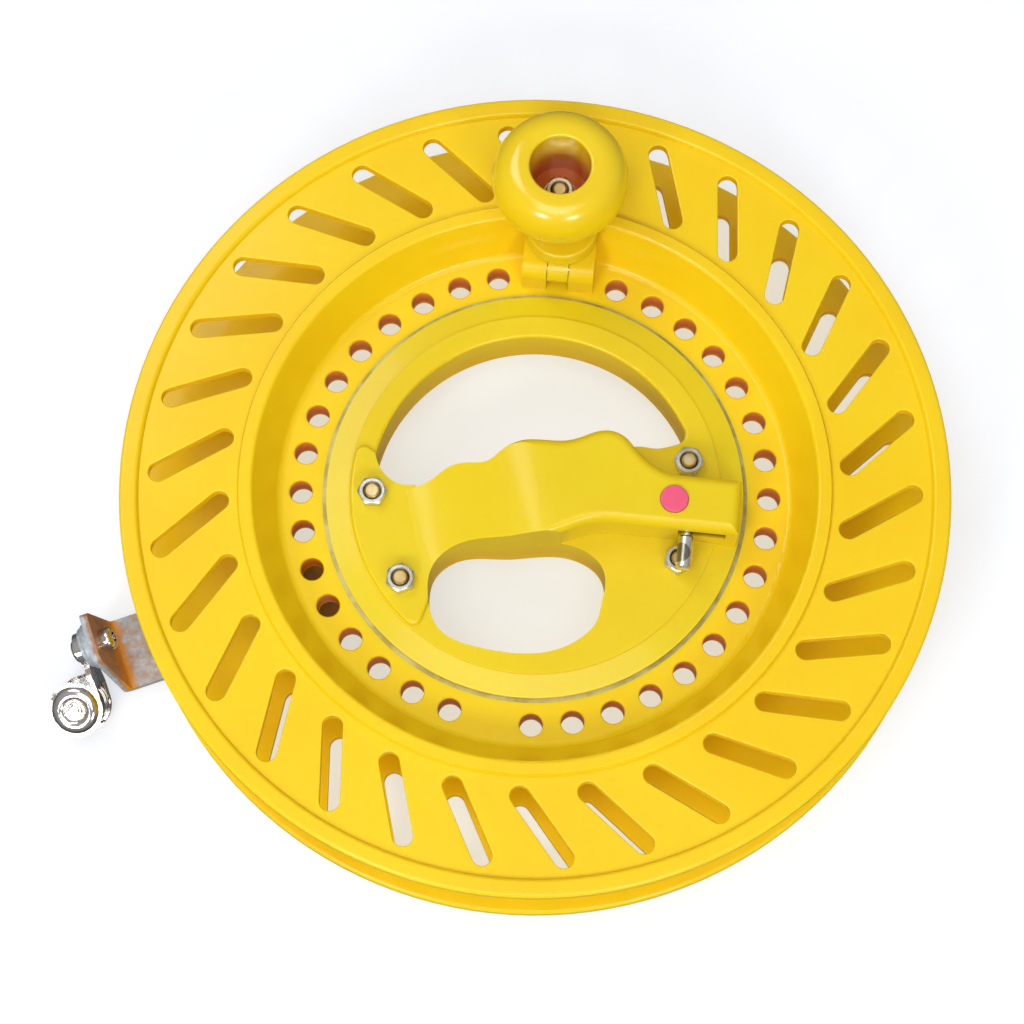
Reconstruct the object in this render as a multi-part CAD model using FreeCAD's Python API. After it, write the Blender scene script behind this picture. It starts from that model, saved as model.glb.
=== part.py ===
import FreeCAD, Part
import math
import os

# Hand reel for winding line: a spool of two moulded shells turns on a large ball bearing round a hub
# that carries the grip.  Millimetres, +Z out of the front.  The origin is on the spin axis, half way
# between the two flanges; X runs along the grip.

# --- for the tools that shape everything -----------------------------------------------------------
THROUGH = 60.0
HAIR = 1e-3
END_RUN = 0.02

# --- spool -----------------------------------------------------------------------------------------
FLANGE_R = 110.0
FACE_Z = 15.7
FLANGE_T = 3.0
LIP_Z = 17.0
LIP_INNER_R = 105.5
CREST_OUTER_R = 78.3
CREST_INNER_R = 75.0
FLOOR_OUTER_R = 68.8
FLOOR_Z = 4.4
BORE_R = 57.0
DRUM_WALL_R = 76.8
DRUM_ROOT_R = 70.6
EDGE_ROUND = 1.0

SLOT_COUNT = 30
SLOT_WIDTH = 5.3
SLOT_INNER_R = 81.6
SLOT_OUTER_R = 102.2
SLOT_INNER_DEG = 8.13
SLOT_LEAN_DEG = 8.73
SLOT_EDGE = 0.35

HOLE_STATIONS = 36
HOLE_FIRST_DEG = 5.0
HOLE_RING_R = 62.8
HOLE_R = 3.1
HOLE_EDGE = 0.35
NO_HOLE_AT = (8, 9, 26)

# --- bearing ---------------------------------------------------------------------------------------
BALL_COUNT = 36
BALL_R = 1.5
BALL_RING_R = 53.2
GROOVE_R = 1.6
OUTER_RACE_INNER_R = 53.9
OUTER_RACE_RIB_R = 58.4
OUTER_RACE_RIB_H = 1.5
INNER_RACE_OUTER_R = 52.5
INNER_RACE_INNER_R = 49.5
INNER_RACE_Z = 4.9
CAGE_INNER_R = 52.75
CAGE_OUTER_R = 53.65
CAGE_H = 2.4
CAGE_POCKET_R = 1.6

# --- hub and grip ----------------------------------------------------------------------------------
HUB_Z = 7.2
HUB_FACE_R = 49.8
HUB_STEP = 0.5
HUB_RIM_R = 55.9
HUB_RIM_Z = 5.7
WING_Z = 8.5
WING_R = 49.4
WING_FROM_DEG = 169.0
WING_TO_DEG = 237.0
WING_CORNER = 2.5
WING_EDGE = 0.9
GRIP_TOP = 20.2
GRIP_WALL = 3.0
GRIP_EDGE = 2.6
RAMP_FROM_X = -35.5
RAMP_TO_X = 4.0
RAMP_DEG = 18.0
RAMP_SINK = 0.03
UNDER_WING = 0.2
GRIP_CLOSE_X = -20.0
WINDOW_R = 44.0
WINDOW_EDGE = 0.8
CAVITY_FLOOR = -4.2
CAVITY_TOP = 17.0

BLOCK_END_X = 54.5
BLOCK_FAR_Y = 5.4
BLOCK_NEAR_Y = -9.3

BOLT_R = 2.0
NUT_FLATS = 7.0
NUT_H = 3.2
NUT_SINK = 0.55
BOLT_PROUD = 0.3
BOLT_POINT = 0.45
BOLT_HEAD_R = 3.7
BOLT_HEAD_H = 2.6
CROSS_LENGTH = 4.2
CROSS_WIDTH = 0.9
CROSS_DEPTH = 1.4
WASHER_R = 4.4
WASHER_T = 0.8
# x, y, seat height, thickness of plate under the hub there, turn of the nut
HUB_BOLTS = (
    (-43.0, -5.3, WING_Z, 2.0, 5.0),
    (-32.8, -28.2, WING_Z, 2.0, 30.0),
    (40.2, 12.2, HUB_Z, 0.0, 0.0),
    (39.9, -15.0, HUB_Z, 0.0, 28.0),
)

# --- lock and button -------------------------------------------------------------------------------
NECK_R = 1.5
PIN_R = 2.15
PIN_FROM_Y = -10.1
PIN_CHAMFER = 0.5
SLOT_HALF_H = 2.1
PIN_PLAY = 0.2
PIN_X = 41.2
PIN_Z = 14.4
PIN_TIP_Y = -19.2
SLOT_X = (38.9, 51.4)
CARRIAGE_X = (38.6, 44.4)
CARRIAGE_Y = (-8.0, -4.8)
CARRIAGE_Z = (11.8, 17.0)
CARRIAGE_ROOM_X = (38.3, 52.9)
CARRIAGE_PLAY = 0.15
BUTTON_X = 37.0
BUTTON_Y = -1.9
BUTTON_R = 3.7
BUTTON_BOTTOM = 18.6
BUTTON_TOP = 20.9
BUTTON_PLAY = 0.1
BUTTON_ROOM_Z = 17.2
SPRING_ROOM_R = 2.8
SPRING_BOTTOM = 12.0
SPRING_COIL_R = 2.1
SPRING_WIRE_R = 0.25
SPRING_TURNS = 5.0

# --- winding knob ----------------------------------------------------------------------------------
HINGE_Y = 62.3
HINGE_Z = 11.7
HINGE_PIN_R = 1.5
EAR_NOSE_R = 3.5
EAR_BACK_Y = 72.6
EAR_INNER_X = 3.0
EAR_OUTER_X = 9.7
TONGUE_HALF = 2.8
SHOULDER_Y = 71.7
SHOULDER_BACK_Y = 71.0
SHOULDER_BOTTOM = 15.6
PLATE_BOTTOM = 17.6
PLATE_TOP = 20.8
KNOB_X = -1.5
KNOB_Y = 79.0
KNOB_BASE = 21.1
KNOB_BASE_R = 11.9
KNOB_SKIRT_R = 16.9
KNOB_SKIRT_Z = 30.2
KNOB_MAX_R = 18.1
KNOB_MAX_Z = 34.3
KNOB_TOP = 44.4
KNOB_CROWN_R = 10.5
KNOB_MOUTH_R = 8.1
KNOB_MOUTH_EDGE = 0.7
KNOB_WEB = 2.0
KNOB_BORE_R = 2.1
KNOB_HEAD_R = 3.6
KNOB_HEAD_H = 1.6

# --- line guide ------------------------------------------------------------------------------------
ARM_DEG = 205.0
ARM_WIDTH = 20.0
ARM_T = 2.0
ARM_TOP = -18.0
ARM_PAD_R = 5.5
ARM_JOGGLE_X = (51.0, 66.0)
ARM_BEND_X = 119.3
TAB_LEAN_DEG = 15.0
TAB_H = 16.5
TAB_TOP_W = 13.6
TAB_CORNER_R = 3.0
TAB_SMALL_CORNER_R = 1.5
RIVET_UP = 10.5
RIVET_Y = -2.5
RIVET_R = 2.0
RIVET_HEAD_R = 3.2
RIVET_HEAD_H = 3.4
RIVET_HOLLOW_R = 1.3
THICK_WASHER_R = 6.3
THICK_WASHER_T = 1.9
THIN_WASHER_R = 5.6
THIN_WASHER_T = 1.2
FORK_T = 1.6
FORK_PLAY = 0.15
FORK_EYE_R = 4.7
FORK_NECK_HALF = 3.0
FORK_NECK_Y = 5.0
FORK_BRIDGE_Y = (8.2, 10.2)
FORK_DROOP_DEG = 20.0
CHEEK_T = 1.4
CHEEK_INSIDE = 3.3
CHEEK_R = 7.5
CHEEK_BOSS_R = 6.5
CHEEK_BOSS_H = 1.5
CHEEK_DISH_R = 2.7
CHEEK_DISH_H = 0.7
PULLEY_X = 13.2
PULLEY_Y = 14.0
PULLEY_R = 6.2
PULLEY_ROOT_R = 3.3
PULLEY_HALF = 3.0
PULLEY_BORE_R = 1.6
PULLEY_PIN_R = 1.5
PULLEY_PIN_HEAD_R = 2.2
PULLEY_PIN_HEAD_H = 0.8
PULLEY_PIN_TIP_R = 1.6
PULLEY_PIN_TIP_H = 0.5


def vec(x, y, z=0.0):
    return FreeCAD.Vector(x, y, z)


X_AXIS = vec(1, 0, 0)
Y_AXIS = vec(0, 1, 0)
Z_AXIS = vec(0, 0, 1)
ORIGIN = vec(0, 0, 0)


def polar(radius, deg, z=0.0):
    a = math.radians(deg)
    return vec(radius * math.cos(a), radius * math.sin(a), z)


def cyl(radius, z0, z1, x=0.0, y=0.0):
    return Part.makeCylinder(radius, z1 - z0, vec(x, y, z0))


def rod(radius, start, end):
    return Part.makeCylinder(radius, (end - start).Length, start, end - start)


def box(x0, x1, y0, y1, z0, z1):
    return Part.makeBox(x1 - x0, y1 - y0, z1 - z0, vec(x0, y0, z0))


def face_up(wire, z0, z1):
    """Solid standing on the flat outline, from z0 to z1."""
    solid = Part.Face(wire).extrude(vec(0, 0, z1 - z0))
    solid.translate(vec(0, 0, z0))
    return solid


def turned(section, axis_x=0.0, axis_y=0.0):
    """Solid of revolution about Z from (radius, z) corners."""
    pts = [vec(r, 0, z) for r, z in section]
    solid = Part.Face(Part.makePolygon(pts + pts[:1])).revolve(ORIGIN, Z_AXIS, 360)
    solid.translate(vec(axis_x, axis_y))
    return solid


def rounded(corners):
    """Closed outline from (x, y, corner radius)."""
    edges = []
    count = len(corners)
    cuts = []
    for i, (x, y, radius) in enumerate(corners):
        here = vec(x, y)
        before = vec(*corners[i - 1][:2]) - here
        after = vec(*corners[(i + 1) % count][:2]) - here
        half = before.getAngle(after) / 2
        before.normalize()
        after.normalize()
        reach = radius / math.tan(half)
        inward = (before + after).normalize()
        middle = here + inward * (radius / math.sin(half) - radius)
        cuts.append((here + before * reach, middle, here + after * reach))
    for i, (start, middle, end) in enumerate(cuts):
        edges.append(Part.Arc(start, middle, end).toShape())
        nxt = cuts[(i + 1) % count][0]
        if (nxt - end).Length > 1e-6:
            edges.append(Part.makeLine(end, nxt))
    return Part.Wire(edges)


def spline(points, start=None, end=None):
    """Smooth curve through the points, leaving along start and arriving along end where given."""
    pts = [vec(*p) for p in points]
    if start:
        length = sum((q - p).Length for p, q in zip(pts, pts[1:]))
        pts.insert(1, pts[0] + vec(*start).normalize() * length * END_RUN)
        pts.insert(-1, pts[-1] - vec(*end).normalize() * length * END_RUN)
    curve = Part.BSplineCurve()
    curve.interpolate(pts)
    return curve.toShape()


def closed_spline(points):
    curve = Part.BSplineCurve()
    curve.interpolate([vec(*p) for p in points], PeriodicFlag=True)
    return Part.Wire(curve.toShape())


def lock_nut(z, x, y, turn_deg):
    """Nut on a bolt of BOLT_R, its corners chamfered and its top countersunk."""
    corner = NUT_FLATS / math.sqrt(3)
    pts = [polar(corner, turn_deg + 60 * i) for i in range(7)]
    prism = face_up(Part.makePolygon(pts), 0, NUT_H)
    face_r = 0.95 * NUT_FLATS / 2
    rise = (corner - face_r) * math.tan(math.radians(30))
    drum = turned([(0, 0), (face_r, 0), (corner, rise), (corner, NUT_H - rise), (face_r, NUT_H), (0, NUT_H)])
    sink = Part.makeCone(BOLT_R, BOLT_R + NUT_SINK, NUT_SINK, vec(0, 0, NUT_H - NUT_SINK))
    solid = prism.common(drum).cut(cyl(BOLT_R, -1, NUT_H + 1)).cut(sink)
    solid.translate(vec(x, y, z))
    return solid


def bolt(head_z, head_r, head_h, end_z, x, y):
    """Bolt pointing up, its head below with a cross recess, its end chamfered."""
    shank = cyl(BOLT_R, head_z, end_z, x, y)
    shank = shank.makeChamfer(BOLT_POINT, edges_where(shank, lambda e: e.BoundBox.ZMin > end_z - HAIR))
    head = cyl(head_r, head_z, head_z + head_h, x, y)
    head = head.makeFillet(0.45 * head_h, edges_where(head, lambda e: e.BoundBox.ZMax < head_z + HAIR))
    cross = [box(x - a, x + a, y - b, y + b, head_z - 1, head_z + CROSS_DEPTH * head_h / BOLT_HEAD_H)
             for a, b in ((CROSS_LENGTH / 2, CROSS_WIDTH / 2), (CROSS_WIDTH / 2, CROSS_LENGTH / 2))]
    return shank.fuse(head).cut(Part.makeCompound(cross)).removeSplitter()


def edges_where(shape, test):
    return [e for e in shape.Edges if test(e)]


def torus(ring_r, tube_r):
    return Part.makeTorus(ring_r, tube_r)


# --- spool shells ----------------------------------------------------------------------------------
def slot_cutter(index):
    step = 360.0 / SLOT_COUNT
    a = polar(SLOT_INNER_R, SLOT_INNER_DEG + step * index)
    b = polar(SLOT_OUTER_R, SLOT_INNER_DEG + SLOT_LEAN_DEG + step * index)
    along = (b - a).normalize()
    half = SLOT_WIDTH / 2
    side = vec(-along.y, along.x) * half
    a, b = a + along * half, b - along * half
    outline = Part.Wire([
        Part.makeLine(a + side, b + side),
        Part.Arc(b + side, b + along * half, b - side).toShape(),
        Part.makeLine(b - side, a - side),
        Part.Arc(a - side, a - along * half, a + side).toShape(),
    ])
    return face_up(outline, -FACE_Z - FLANGE_T, FACE_Z + FLANGE_T)


def spool_half():
    shell = turned([
        (BORE_R, 0), (BORE_R, FLOOR_Z), (FLOOR_OUTER_R, FLOOR_Z), (CREST_INNER_R, LIP_Z),
        (CREST_OUTER_R, LIP_Z), (CREST_OUTER_R + 0.6, FACE_Z), (LIP_INNER_R - 0.6, FACE_Z),
        (LIP_INNER_R, LIP_Z), (FLANGE_R, LIP_Z), (FLANGE_R, FACE_Z - FLANGE_T),
        (DRUM_WALL_R, FACE_Z - FLANGE_T), (DRUM_ROOT_R, 0),
    ])
    round_at = ((FLANGE_R, LIP_Z), (FLANGE_R, FACE_Z - FLANGE_T),
                (CREST_INNER_R, LIP_Z), (LIP_INNER_R, LIP_Z))

    def is_rounded(edge):
        circle = edge.Curve
        if not isinstance(circle, Part.Circle):
            return False
        return any(abs(circle.Radius - r) < HAIR and abs(circle.Center.z - z) < HAIR for r, z in round_at)

    shell = shell.makeFillet(EDGE_ROUND, edges_where(shell, is_rounded))
    floor_edge = edges_where(shell, lambda e: isinstance(e.Curve, Part.Circle)
                             and abs(e.Curve.Radius - FLOOR_OUTER_R) < HAIR)
    shell = shell.makeFillet(2 * EDGE_ROUND, floor_edge)
    rebate = cyl(OUTER_RACE_RIB_R, -1, OUTER_RACE_RIB_H)
    cutters = [rebate]
    cutters += [slot_cutter(i) for i in range(SLOT_COUNT)]
    shell = shell.cut(Part.makeCompound(cutters))
    slot_rim = edges_where(shell, lambda e: e.BoundBox.ZMin > FACE_Z - HAIR and e.BoundBox.ZMax < FACE_Z + HAIR
                           and e.Length < 2 * (SLOT_OUTER_R - SLOT_INNER_R))
    return shell.makeFillet(SLOT_EDGE, slot_rim)


def floor_holes():
    step = 360.0 / HOLE_STATIONS
    holes = []
    for i in range(HOLE_STATIONS):
        if i in NO_HOLE_AT:
            continue
        at = polar(HOLE_RING_R, HOLE_FIRST_DEG + step * i)
        hole = cyl(HOLE_R, -2 * FLOOR_Z, 2 * FLOOR_Z, at.x, at.y)
        deep = 2 * HOLE_EDGE
        rims = [Part.makeCone(HOLE_R, HOLE_R + deep, deep, at + way * (FLOOR_Z - HOLE_EDGE), way)
                for way in (Z_AXIS, -Z_AXIS)]
        holes.append(hole.fuse(rims))
    return Part.makeCompound(holes)


def knob_ears():
    outline = Part.Wire([
        Part.makeLine(vec(0, HINGE_Y - EAR_NOSE_R, FLOOR_Z - 1), vec(0, HINGE_Y - EAR_NOSE_R, HINGE_Z)),
        Part.Arc(vec(0, HINGE_Y - EAR_NOSE_R, HINGE_Z),
                 vec(0, HINGE_Y - EAR_NOSE_R * math.sqrt(0.5), HINGE_Z + EAR_NOSE_R * math.sqrt(0.5)),
                 vec(0, HINGE_Y, HINGE_Z + EAR_NOSE_R)).toShape(),
        Part.makeLine(vec(0, HINGE_Y, HINGE_Z + EAR_NOSE_R), vec(0, EAR_BACK_Y, HINGE_Z + EAR_NOSE_R)),
        Part.makeLine(vec(0, EAR_BACK_Y, HINGE_Z + EAR_NOSE_R), vec(0, FLOOR_OUTER_R, FLOOR_Z - 1)),
        Part.makeLine(vec(0, FLOOR_OUTER_R, FLOOR_Z - 1), vec(0, HINGE_Y - EAR_NOSE_R, FLOOR_Z - 1)),
    ])
    ears = []
    for side in (-EAR_OUTER_X, EAR_INNER_X):
        ear = Part.Face(outline).extrude(vec(EAR_OUTER_X - EAR_INNER_X, 0, 0))
        ear.translate(vec(side, 0, 0))
        ears.append(ear)
    hole = rod(HINGE_PIN_R, vec(-2 * EAR_OUTER_X, HINGE_Y, HINGE_Z), vec(2 * EAR_OUTER_X, HINGE_Y, HINGE_Z))
    return ears, hole


def spool_shells():
    front = spool_half()
    rear = front.copy()
    ears, hole = knob_ears()
    front = front.fuse(ears).cut(Part.makeCompound([hole, floor_holes()])).removeSplitter()
    # the rear half is the same moulding seen through: mirrored front to back, so the slots line up
    rear = rear.mirror(ORIGIN, Z_AXIS).cut(floor_holes())
    return front, rear


# --- bearing ---------------------------------------------------------------------------------------
def outer_race():
    ring = turned([
        (OUTER_RACE_INNER_R, -FLOOR_Z), (BORE_R, -FLOOR_Z), (BORE_R, -OUTER_RACE_RIB_H),
        (OUTER_RACE_RIB_R, -OUTER_RACE_RIB_H), (OUTER_RACE_RIB_R, OUTER_RACE_RIB_H),
        (BORE_R, OUTER_RACE_RIB_H), (BORE_R, FLOOR_Z), (OUTER_RACE_INNER_R, FLOOR_Z),
    ])
    return ring.cut(torus(BALL_RING_R, GROOVE_R))


def inner_race():
    ring = cyl(INNER_RACE_OUTER_R, -INNER_RACE_Z, INNER_RACE_Z)
    ring = ring.cut(cyl(INNER_RACE_INNER_R, -2 * INNER_RACE_Z, 2 * INNER_RACE_Z))
    return ring.cut(torus(BALL_RING_R, GROOVE_R))


def ball_stations():
    return [360.0 / BALL_COUNT * i for i in range(BALL_COUNT)]


def bearing_balls():
    return Part.makeCompound([Part.makeSphere(BALL_R, polar(BALL_RING_R, a)) for a in ball_stations()])


def ball_cage():
    ring = cyl(CAGE_OUTER_R, -CAGE_H, CAGE_H).cut(cyl(CAGE_INNER_R, -2 * CAGE_H, 2 * CAGE_H))
    pockets = [rod(CAGE_POCKET_R, polar(INNER_RACE_OUTER_R, a), polar(OUTER_RACE_INNER_R, a))
               for a in ball_stations()]
    return ring.cut(Part.makeCompound(pockets))


# --- hub -------------------------------------------------------------------------------------------
def grip_outline():
    far = spline([(-36.0, -3.0), (-31.5, -2.2), (-27.5, 0.0), (-23.5, 3.2), (-18.5, 4.3), (-13.0, 4.7),
                  (-9.2, 8.0), (-4.0, 10.9), (3.0, 11.5), (9.0, 12.4), (13.6, 14.6), (18.0, 15.8),
                  (22.2, 14.7), (26.5, 10.6), (31.0, 7.2), (38.0, BLOCK_FAR_Y)], (1, 0), (1, 0))
    near = spline([(24.0, BLOCK_NEAR_Y), (16.5, -9.9), (10.0, -12.6), (4.0, -15.2), (-4.0, -16.7),
                   (-12.0, -17.9), (-19.5, -19.4), (-24.3, -23.5), (-26.3, -31.0)], (-1, 0), (0, -1))
    return Part.Wire([
        far,
        Part.makeLine(vec(38.0, BLOCK_FAR_Y), vec(BLOCK_END_X, BLOCK_FAR_Y)),
        Part.makeLine(vec(BLOCK_END_X, BLOCK_FAR_Y), vec(BLOCK_END_X, BLOCK_NEAR_Y)),
        Part.makeLine(vec(BLOCK_END_X, BLOCK_NEAR_Y), vec(24.0, BLOCK_NEAR_Y)),
        near,
        Part.makeLine(vec(-26.3, -31.0), vec(-36.0, -3.0)),
    ])


def ramp():
    """Everything under the top of the grip, which slopes down to the wing on the left."""
    far = 2 * THROUGH
    left = vec(RAMP_FROM_X, -THROUGH, WING_Z - RAMP_SINK)
    right = vec(RAMP_TO_X, -THROUGH, GRIP_TOP)
    below = [vec(far, -THROUGH, GRIP_TOP), vec(far, -THROUGH, -far), vec(RAMP_FROM_X, -THROUGH, -far)]
    outline = Part.Wire([spline([left, right], (1, 0), (1, 0)), Part.makePolygon([right] + below + [left])])
    solid = Part.Face(outline).extrude(vec(0, 2 * THROUGH, 0))
    solid.rotate(ORIGIN, Z_AXIS, RAMP_DEG)
    return solid.fuse(box(-WING_R, GRIP_CLOSE_X, -WING_R, WING_R / 4, -far, WING_Z - UNDER_WING))


def wing():
    start = polar(WING_R, WING_FROM_DEG)
    end = polar(WING_R, WING_TO_DEG)
    middle = polar(WING_R, (WING_FROM_DEG + WING_TO_DEG) / 2)
    outline = Part.Wire([
        Part.Arc(start, middle, end).toShape(),
        Part.makeLine(end, vec(-22.0, -21.0)),
        Part.makeLine(vec(-22.0, -21.0), vec(-29.0, -1.5)),
        Part.makeLine(vec(-29.0, -1.5), start),
    ])
    pad = face_up(outline, 0, WING_Z)
    corners = edges_where(pad, lambda e: e.BoundBox.ZLength > WING_Z - 1 and e.BoundBox.XMin < end.x + HAIR)
    pad = pad.makeFillet(WING_CORNER, corners)
    return pad.makeFillet(WING_EDGE, edges_where(pad, lambda e: e.BoundBox.ZMin > WING_Z - HAIR))


def windows():
    """The finger window beyond the grip and the thumb window before it."""
    lower = closed_spline([(21.0, -26.5), (18.3, -17.0), (9.7, -13.6), (-6.0, -15.6), (-18.5, -17.4),
                           (-24.6, -23.0), (-25.2, -31.5), (-21.5, -39.8), (-9.5, -44.0), (3.0, -44.2),
                           (13.5, -40.6), (19.9, -33.6)])
    start = polar(WINDOW_R, 29.5)
    end = polar(WINDOW_R, 172.0)
    upper = Part.Wire([
        Part.Arc(start, polar(WINDOW_R, 96.0), end).toShape(),
        spline([tuple(end)[:2], (-41.4, 1.6), (-37.0, -1.6), (-32.0, -1.6)], (0.2, -1), (1, 0.25)),
        Part.makeLine(vec(-32.0, -1.6), vec(-29.0, -8.0)),
        Part.makeLine(vec(-29.0, -8.0), vec(26.0, -8.0)),
        Part.makeLine(vec(26.0, -8.0), vec(23.0, 14.6)),
        spline([(23.0, 14.6), (26.5, 15.8), (31.0, 15.7), (35.1, 16.8), (38.2, 18.7), tuple(start)[:2]],
               (1, 0.5), (-0.4, 1)),
    ])
    return face_up(lower, -THROUGH, THROUGH), face_up(upper, -THROUGH, THROUGH)


def hub_disc(upper):
    """Half of the hub without the grip; upper is +1 for the front half, -1 for the rear."""
    disc = turned([
        (0, 0), (INNER_RACE_INNER_R, 0), (INNER_RACE_INNER_R, INNER_RACE_Z), (HUB_RIM_R, INNER_RACE_Z),
        (HUB_RIM_R, HUB_RIM_Z), (HUB_FACE_R, HUB_Z - HUB_STEP), (HUB_FACE_R, HUB_Z), (0, HUB_Z),
    ])
    return disc if upper > 0 else disc.mirror(ORIGIN, Z_AXIS)


def grip_cavity():
    """The hollow inside the grip, the same wall all round."""
    outline = rounded([(-21.0, 0.8, 2), (-11.0, 1.4, 3), (-5.0, 7.4, 3), (9.5, 8.8, 3), (18.0, 12.6, 3),
                       (27.5, 4.8, 3), (31.0, 2.4, 1), (31.0, -6.2, 2), (15.0, -6.6, 3), (2.0, -12.4, 3),
                       (-20.5, -16.0, 2)])
    room = face_up(outline, CAVITY_FLOOR, CAVITY_TOP)
    roof = ramp()
    roof.translate(vec(0, 0, -GRIP_WALL))
    return room.common(roof)


def bolt_holes():
    return [cyl(BOLT_R, -THROUGH, THROUGH, x, y) for x, y, *_ in HUB_BOLTS]


def hub_shells():
    lower, upper = windows()
    grip = face_up(grip_outline(), 0, GRIP_TOP)
    # the line closing the outline on the left is buried in the wing, so it stays sharp
    rim = edges_where(grip, lambda e: e.BoundBox.ZMin > GRIP_TOP - HAIR and e.BoundBox.XMax > GRIP_CLOSE_X)
    grip = grip.makeFillet(GRIP_EDGE, rim).common(ramp())
    under = face_up(grip_outline(), -HUB_Z, 0)
    bearing_room = cyl(THROUGH, -INNER_RACE_Z, INNER_RACE_Z).cut(cyl(INNER_RACE_INNER_R, -THROUGH, THROUGH))
    cavity = grip_cavity()
    front = hub_disc(1).fuse(wing()).cut(upper).fuse(grip).cut(lower).cut(bearing_room)
    front = front.cut(Part.makeCompound([cavity, lock_room()] + bolt_holes()))
    rear = hub_disc(-1).cut(upper).fuse(under).cut(lower).cut(bearing_room)
    rear = rear.cut(Part.makeCompound([cavity] + bolt_holes()))
    window_rim = edges_where(front, lambda e: isinstance(e.Curve, Part.Circle)
                             and abs(e.Curve.Radius - WINDOW_R) < HAIR
                             and e.BoundBox.ZMin > HUB_Z - HAIR and e.BoundBox.ZMax < HUB_Z + HAIR)
    front = front.removeSplitter().makeFillet(WINDOW_EDGE, window_rim)
    return front, rear.removeSplitter()


def hub_fasteners():
    bolts, nuts, washers = [], [], []
    for x, y, seat, plate, turn in HUB_BOLTS:
        under = -HUB_Z - plate
        head_z = under - WASHER_T - BOLT_HEAD_H
        bolts.append(bolt(head_z, BOLT_HEAD_R, BOLT_HEAD_H, seat + NUT_H + BOLT_PROUD, x, y))
        nuts.append(lock_nut(seat, x, y, turn))
        ring = cyl(WASHER_R, under - WASHER_T, under, x, y)
        washers.append(ring.cut(cyl(BOLT_R, -THROUGH, THROUGH, x, y)))
    return [Part.makeCompound(group) for group in (bolts, nuts, washers)]


# --- lock and button -------------------------------------------------------------------------------
def lock_room():
    """Hollows in the end of the grip for the lock carriage, its slot, the button and its spring."""
    play = CARRIAGE_PLAY
    carriage = box(*CARRIAGE_ROOM_X, CARRIAGE_Y[0] - play, CARRIAGE_Y[1] + play,
                   CARRIAGE_Z[0] - play, CARRIAGE_Z[1] + play)
    half = NECK_R + PIN_PLAY
    slot = box(*SLOT_X, BLOCK_NEAR_Y - 2, CARRIAGE_Y[0], PIN_Z - SLOT_HALF_H, PIN_Z + SLOT_HALF_H)
    tunnel = box(PIN_X - half, CARRIAGE_ROOM_X[1], CARRIAGE_Y[1], CARRIAGE_Y[1] + 1.0,
                 PIN_Z - half, PIN_Z + half)
    button = cyl(BUTTON_R + BUTTON_PLAY, BUTTON_ROOM_Z, GRIP_TOP + 2, BUTTON_X, BUTTON_Y)
    spring = cyl(SPRING_ROOM_R, SPRING_BOTTOM, GRIP_TOP, BUTTON_X, BUTTON_Y)
    return carriage.fuse([slot, tunnel, button, spring])


def lock_parts():
    carriage = box(*CARRIAGE_X, *CARRIAGE_Y, *CARRIAGE_Z)
    carriage = carriage.makeFillet(0.4, carriage.Edges)
    neck = rod(NECK_R, vec(PIN_X, CARRIAGE_Y[1] + 0.6, PIN_Z), vec(PIN_X, PIN_FROM_Y, PIN_Z))
    pin = rod(PIN_R, vec(PIN_X, PIN_FROM_Y, PIN_Z), vec(PIN_X, PIN_TIP_Y, PIN_Z))
    pin = pin.makeChamfer(PIN_CHAMFER, edges_where(pin, lambda e: e.BoundBox.YLength < HAIR)).fuse(neck)
    return carriage.cut(rod(NECK_R, vec(PIN_X, THROUGH, PIN_Z), vec(PIN_X, -THROUGH, PIN_Z))), pin


def button_parts():
    button = cyl(BUTTON_R, BUTTON_BOTTOM, BUTTON_TOP, BUTTON_X, BUTTON_Y)
    rim = edges_where(button, lambda e: e.BoundBox.ZMin > BUTTON_TOP - HAIR)
    button = button.makeFillet(0.4, rim)
    height = BUTTON_BOTTOM - SPRING_BOTTOM - 2 * SPRING_WIRE_R
    helix = Part.makeHelix(height / SPRING_TURNS, height, SPRING_COIL_R)
    wire_section = Part.Wire(Part.makeCircle(SPRING_WIRE_R, vec(SPRING_COIL_R, 0, 0), Y_AXIS))
    spring = Part.Wire(helix).makePipeShell([wire_section], True, True)
    spring.translate(vec(BUTTON_X, BUTTON_Y, SPRING_BOTTOM + SPRING_WIRE_R))
    return button, spring


# --- winding knob ----------------------------------------------------------------------------------
def knob_arm():
    plate = box(-EAR_OUTER_X, EAR_OUTER_X, SHOULDER_Y, KNOB_Y, PLATE_BOTTOM, PLATE_TOP)
    end = cyl(EAR_OUTER_X, PLATE_BOTTOM, PLATE_TOP, KNOB_X, KNOB_Y)
    front = cyl(EAR_OUTER_X, SHOULDER_BOTTOM, PLATE_TOP, 0, SHOULDER_Y)
    over_crest = box(-THROUGH, THROUGH, SHOULDER_BACK_Y, KNOB_Y + THROUGH, SHOULDER_BOTTOM - 1, PLATE_BOTTOM)
    tongue = rod(EAR_NOSE_R, vec(-TONGUE_HALF, HINGE_Y, HINGE_Z), vec(TONGUE_HALF, HINGE_Y, HINGE_Z))
    neck = box(-TONGUE_HALF, TONGUE_HALF, HINGE_Y, SHOULDER_BACK_Y, HINGE_Z, PLATE_BOTTOM)
    arm = plate.fuse([end, front.cut(over_crest), tongue, neck]).removeSplitter()
    rim = edges_where(arm, lambda e: e.BoundBox.ZMin > PLATE_TOP - HAIR)
    arm = arm.makeFillet(0.8, rim)
    pin = rod(HINGE_PIN_R + 0.06, vec(-THROUGH, HINGE_Y, HINGE_Z), vec(THROUGH, HINGE_Y, HINGE_Z))
    head = cyl(KNOB_HEAD_R, PLATE_BOTTOM - 1, PLATE_BOTTOM + KNOB_HEAD_H, KNOB_X, KNOB_Y)
    return arm.cut(Part.makeCompound([pin, head, cyl(BOLT_R, 0, THROUGH, KNOB_X, KNOB_Y)]))


def knob_floor():
    return KNOB_BASE + KNOB_WEB


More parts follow.
